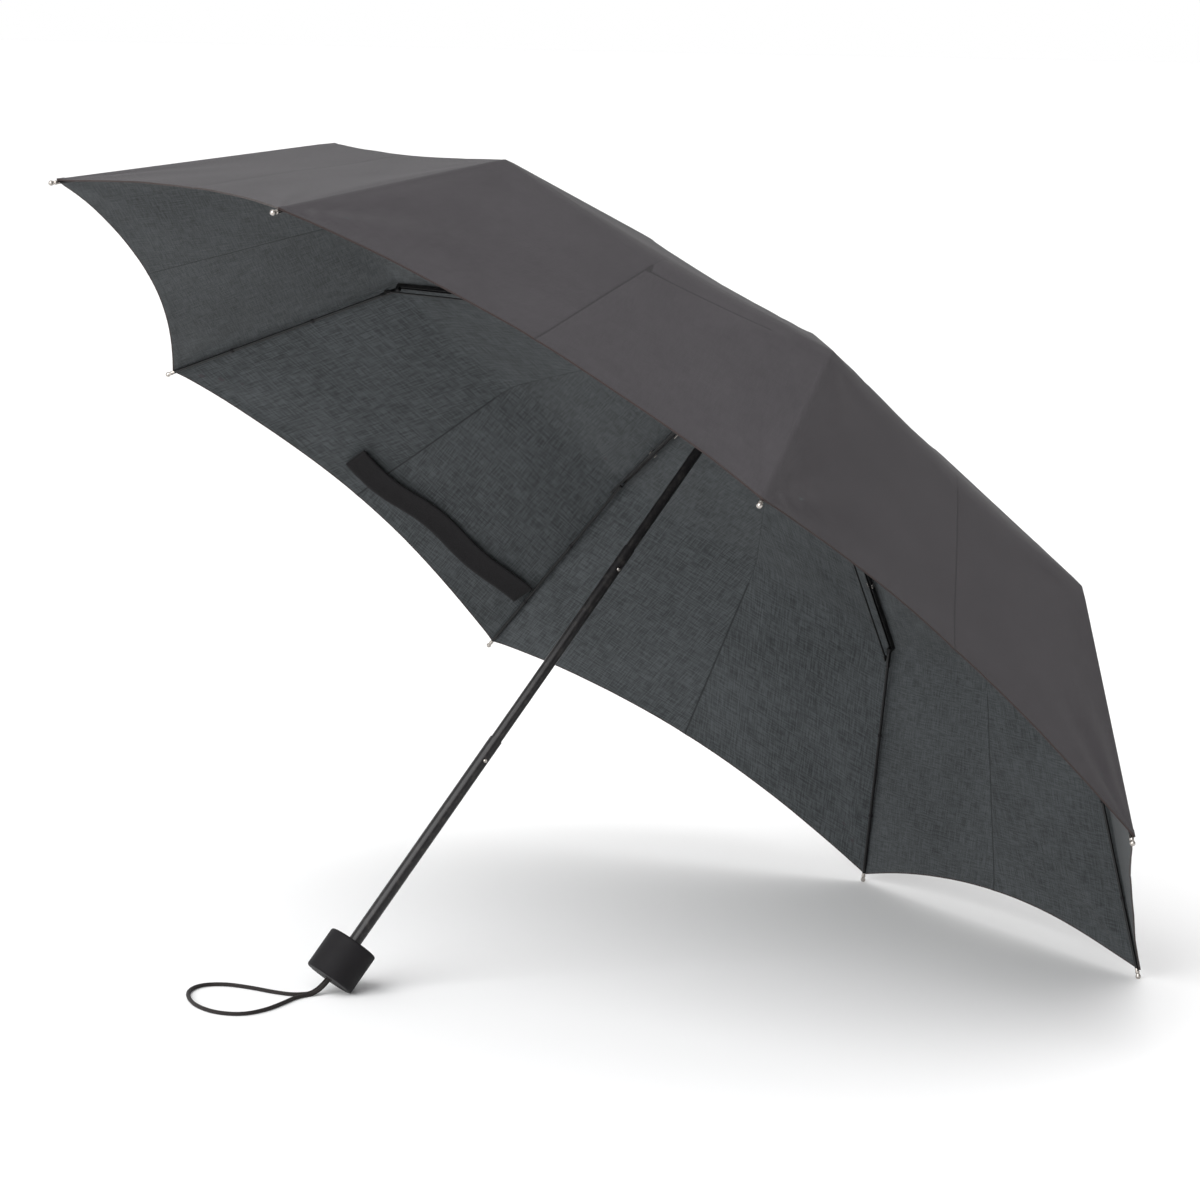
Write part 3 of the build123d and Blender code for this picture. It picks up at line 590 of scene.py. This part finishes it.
ACROSS = [0.0, 0.012, 0.03, 0.06, 0.11, 0.17, 0.24, 0.32, 0.41, 0.5, 0.59, 0.68, 0.77, 0.85, 0.92, 0.97, 1.0]
ZONE_NAMES = ("inner", "middle", "outer")
ZONE_ROWS = (18, 18, 22)
HEM_ROWS = (HEM_WIDTH, HEM_WIDTH - 0.0006, 0.0028, 0.0009, 0.0)
FOLD_SHIFT = 0.018            # how far past the second joints' line the cloth is cut, mid-panel
PLEAT_DOWN = 0.011            # from that cut to the pressed crease beside it


def zone_rows(zone, v):
    """Places along the line for a zone's rows, the hem's own rows last."""
    shift = FOLD_SHIFT * 2 * v
    count = ZONE_ROWS[zone]
    start = STOPS[zone] + (shift if zone == 2 else 0.0)
    if zone < 2:
        end = STOPS[zone + 1] + (shift if zone == 1 else 0.0)
        return [start + (end - start) * i / count for i in range(count + 1)]
    end = hem_place(v)
    stop = end - HEM_WIDTH
    first = start + PLEAT_DOWN
    rows = [start] + [first + (stop - first) * i / count for i in range(count)]
    return rows + [end - back for back in HEM_ROWS]


def crease_distance(k, side, zone, s, v, width):
    """Distance to the nearest crease that folding has pressed into the cloth."""
    if zone == 0:
        return 0.1
    middle = (0.5 - v) * width + (FAINT if zone == 1 else 0.0)
    if (k, side) != PLEATED or v < 0.16:
        return middle
    cut = STOPS[2] + FOLD_SHIFT * 2 * v + PLEAT_DOWN
    return min(middle, abs(s - cut)) if zone == 2 else middle


def half_thickness(zone, s, v):
    """Half the cloth's thickness, doubled over the seam beside a rib and in the rolled hem."""
    pair = rib_line(s)
    seam = v * 2 * half_width(pair[0])
    extra = 0.00022 if seam < 0.0035 else 0.0
    if zone == 2 and hem_place(v) - s < HEM_WIDTH - 0.0003:
        extra += 0.00035
    return FABRIC_HALF + extra


def half_width(distance):
    """Half the straight distance between two neighbouring ribs, that far from the shaft."""
    return distance * math.sin(math.pi / RIB_COUNT)


def shell_faces(columns, rows, side):
    """Faces of a closed shell over a grid: its upper ones, its lower ones, then its rim."""
    count = columns * rows
    quads = [(c * rows + r, c * rows + r + 1, (c + 1) * rows + r + 1, (c + 1) * rows + r)
             for c in range(columns - 1) for r in range(rows - 1)]
    faces = [quad if side > 0 else quad[::-1] for quad in quads]
    faces += [tuple(count + i for i in face[::-1]) for face in faces]
    rim = [c * rows for c in range(columns)]
    rim += [(columns - 1) * rows + r for r in range(1, rows)]
    rim += [c * rows + rows - 1 for c in range(columns - 2, -1, -1)]
    rim += list(range(rows - 2, 0, -1))
    for a, b in zip(rim, rim[1:] + rim[:1]):
        quad = (a, b, count + b, count + a)
        faces.append(quad if side > 0 else quad[::-1])
    return faces, len(quads)


def carry(mesh, name, vectors):
    """Stores a vector for each of a mesh's points under that name."""
    attribute = mesh.attributes.new(name, "FLOAT_VECTOR", "POINT")
    attribute.data.foreach_set("vector", [part for vector in vectors for part in vector])


def share_normals(mesh, normals, upper):
    """Gives a shell's two faces the whole surface's normals, and its rim's faces their own."""
    count = len(normals)
    wanted = []
    for polygon in mesh.polygons:
        for index in polygon.vertices:
            if polygon.index >= 2 * upper:
                wanted.append(polygon.normal.copy())
            else:
                wanted.append(normals[index] if index < count else -normals[index - count])
    mesh.normals_split_custom_set(wanted)


def wing(k, side, zone):
    """One half panel's part of the canopy in one zone, as a thin closed shell."""
    grid = [[(s, 0.5 * share) for s in zone_rows(zone, 0.5 * share)] for share in ACROSS]
    tops, unders, normals, cloth, edges = [], [], [], [], []
    for s, v in (pair for line in grid for pair in line):
        centre, normal = surface(k, side, s, v), normal_at(k, side, s, v)
        half = half_thickness(zone, s, v)
        tops.append(centre + normal * half)
        unders.append(centre - normal * half)
        normals.append(normal)
        width = 2 * half_width(rib_line(s)[0])
        cloth.append((side * v * width + 0.7 * k, s, 0.0))
        crease = crease_distance(k, side, zone, s, v, width)
        edges.append((v * width, max(0.0, hem_place(v) - s), crease))
    faces, upper = shell_faces(len(grid), len(grid[0]), side)
    name = f"canopy_{ZONE_NAMES[zone]}_{k}_{'ab'[side > 0]}"
    made = make(name, tops + unders, faces, [OUTSIDE, INSIDE])
    mesh = made.data
    carry(mesh, "cloth", cloth + cloth)
    carry(mesh, "edges", edges + edges)
    for polygon in mesh.polygons:
        polygon.material_index = 1 if upper <= polygon.index < 2 * upper else 0
    share_normals(mesh, normals, upper)
    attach(made, f"{ZONE_NAMES[zone]}_{k}")
    fold_up(made)
    # The area given is the finished shell's own, held to the rectangle's, and not that of a separate cut.
    length, width = SPANS[zone], half_width(LINE[zone + 1][0])


def fold_up(piece):
    """Gives the piece its own copy of its mesh."""
    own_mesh(piece)


def crown_patch():
    """The round patch of the same cloth over the middle of the canopy."""
    rings, sides = [0.0036, 0.0060, 0.0100, 0.0140, 0.0150], 48
    points, faces, cloth = [], [], []
    for layer in (0.00055, 0.00005):
        for ring in rings:
            for step in range(sides):
                angle = math.tau * step / sides
                ripple = 0.00025 * math.sin(8 * angle) * ring / rings[-1]
                out = OUTWARD[0] * math.cos(angle) + UP.cross(OUTWARD[0]) * math.sin(angle)
                high = rib_line(ring)[1] + 0.0012 + layer + ripple - 0.07 * ring
                points.append(CROWN + out * ring + UP * high)
                cloth.append((ring * math.cos(angle), ring * math.sin(angle), 0.0))
    size = len(rings) * sides
    for ring in range(len(rings) - 1):
        for step in range(sides):
            a, b = ring * sides + step, ring * sides + (step + 1) % sides
            faces.append((a, a + sides, b + sides, b))
            faces.append((size + b, size + b + sides, size + a + sides, size + a))
    for first in (0, size - sides):
        for step in range(sides):
            a, b = first + step, first + (step + 1) % sides
            quad = (a, b, size + b, size + a)
            faces.append(quad if first == 0 else quad[::-1])
    patch = make("crown_patch", points, faces, [OUTSIDE])
    carry(patch.data, "cloth", cloth)
    carry(patch.data, "edges", [(0.1, 0.1, 0.1)] * len(points))
    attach(patch, "canopy_head")
    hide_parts("canopy")


# ---- closure strap --------------------------------------------------------------------------------
def panel_point(k, down, across, lift):
    """A place on the outer panel between ribs k and k + 1, from its upper edge, middle line and face."""
    upper = (place(LINE[2], k) + place(LINE[2], k + 1)) / 2
    lower = (place(LINE[3], k) + place(LINE[3], k + 1)) / 2
    over = (place(LINE[3], k + 1) - place(LINE[3], k)).normalized()
    slope = (lower - upper).normalized()
    face = over.cross(slope).normalized()
    face = face if face.dot(UP) > 0 else -face
    return upper + slope * down + over * across + face * lift


STRAP_WIDTH, STRAP_DOWN, STRAP_ENDS = 0.0205, 0.138, (0.031, -0.160)
STRAP_HALF = 0.0005


def closure_strap():
    """The ribbon that ties the closed umbrella, sewn at one end inside a panel and hanging in waves."""
    steps, widths = 60, 10
    points, faces = [], []
    for layer in (1, -1):
        for i in range(steps + 1):
            t = i / steps
            across = STRAP_ENDS[0] + (STRAP_ENDS[1] - STRAP_ENDS[0]) * t
            bend = 0.0018 * math.sin(5.2 * t + 0.4) - 0.004 * t * (1 - t) + 0.0022 * math.sin(11.0 * t)
            wave = 0.0011 * math.sin(9.5 * t) * min(1.0, 4 * t)
            sewn = 0.0005 if t < 0.07 else 0.0
            for j in range(widths + 1):
                u = j / widths - 0.5
                curl = 0.0006 * (2 * u) ** 2
                side = 0.0002 if abs(u) > 0.43 else 0.0
                lift = -0.0048 - wave - curl + layer * (STRAP_HALF + sewn - side)
                points.append(panel_point(2, STRAP_DOWN + bend + u * STRAP_WIDTH, across, lift))
    row, size = widths + 1, (steps + 1) * (widths + 1)
    for i in range(steps):
        for j in range(widths):
            a = i * row + j
            faces.append((a, a + row, a + row + 1, a + 1))
            faces.append((size + a + 1, size + a + row + 1, size + a + row, size + a))
    rim = list(range(row)) + [i * row + widths for i in range(1, steps + 1)]
    rim += [steps * row + j for j in range(widths - 1, -1, -1)] + [i * row for i in range(steps - 1, 0, -1)]
    faces += [(a, b, size + b, size + a) for a, b in zip(rim, rim[1:] + rim[:1])]
    strap = make("closure_ribbon", points, faces, [STRAP])
    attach(strap, "outer_2")
    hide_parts("closure_strap")
    fold_up(strap)


# ---- small metal and thread -----------------------------------------------------------------------
def rib_tip(k):
    """The plated ferrule and ball at a rib's end."""
    end, line = place(TIP, k), (place(TIP, k) - place(SECOND, k)).normalized()
    ball = BALL_RADIUS * 1.12
    outline = [(0.00124, -0.0062), (0.00136, -0.0060), (0.00136, -0.0038), (0.00155, -0.0036),
               (0.00155, -0.0028), (0.00124, -0.0023)]
    for step in range(1, 10):
        angle = math.pi * (0.25 + 0.75 * step / 9)
        outline.append((max(0.00004, ball * math.sin(angle)), -ball * math.cos(angle)))
    tip = lathe(f"rib_tip_{k}", outline, end, line, BRIGHT)
    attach(tip, f"outer_{k}")


def winding(name, base, axis, radius, turns, pitch, thick, material, body):
    """A few close turns of thread round an axis."""
    axis = axis.normalized()
    side = axis.orthogonal().normalized()
    other = axis.cross(side)
    points = []
    for step in range(turns * 8 + 1):
        angle = math.tau * step / 8
        points.append(base + (side * math.cos(angle) + other * math.sin(angle)) * radius * 1.06
                      + axis * pitch * step / 8)
    made = wire(name, points, thick, material)
    made.data.bevel_resolution = 2
    made.data.resolution_u = 4
    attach(made, body)


TIE_SHARES = (0.36, 0.71)     # where the threads tie the cloth to the outer rib
CLIP_AT, CLIP_PITCH, CLIP_RADIUS, CLIP_WIRE = 0.070, 0.0011, 0.0025, 0.00032
LINK_SIDE, LINK_UP, LINK_WIRE = 0.0027, 0.0030, 0.00045
LINK_CORNERS = [(0.110, 0.0030), (0.1115, 0.0046), (0.119, 0.0044), (0.127, 0.0048), (0.1285, 0.0030),
                (0.127, 0.0022), (0.119, 0.0026), (0.1115, 0.0021), (0.1100, 0.0030)]


def thread_ties(k):
    """The threads that tie the cloth to the outer rib."""
    start, end = place(SECOND, k), place(TIP, k)
    line = (end - start).normalized()
    for number, share in enumerate(TIE_SHARES):
        winding(f"thread_tie_{k}_{number}", start + (end - start) * share, line, 0.00145, 5, 0.00045,
                0.00022, THREAD_BLACK, f"outer_{k}")


def middle_rib_wires(k):
    """The bright wire clip over the middle rib and the wire link beside it."""
    joint, inward = place(SECOND, k), (place(FIRST, k) - place(SECOND, k)).normalized()
    sideways = inward.cross(UP).normalized()
    below = inward.cross(sideways)
    below = below if below.dot(DOWN) > 0 else -below
    angles = [math.radians(-20 + 20 * i) for i in range(12)]
    turns = []
    for turn in range(4):
        centre = joint + inward * (CLIP_AT + CLIP_PITCH * turn)
        arc = [centre + (sideways * math.cos(a) - below * math.sin(a)) * CLIP_RADIUS for a in angles]
        turns += arc if turn % 2 == 0 else arc[::-1]
    route = [joint + inward * along + below * (drop - LINK_UP) - sideways * LINK_SIDE
             for along, drop in LINK_CORNERS]
    for name, points, thick in (("rod_clip", turns, CLIP_WIRE), ("spring_link", route, LINK_WIRE)):
        made = wire(f"{name}_{k}", points, thick, BRIGHT)
        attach(made, f"middle_{k}")


# ---- make everything ------------------------------------------------------------------------------
wrist_cord()
backdrop()
studio()
dress_frame()
for rib in RIBS:
    for half in (-1, 1):
        for zone_number in range(3):
            wing(rib, half, zone_number)
    rib_tip(rib)
    thread_ties(rib)
    middle_rib_wires(rib)
crown_patch()
closure_strap()
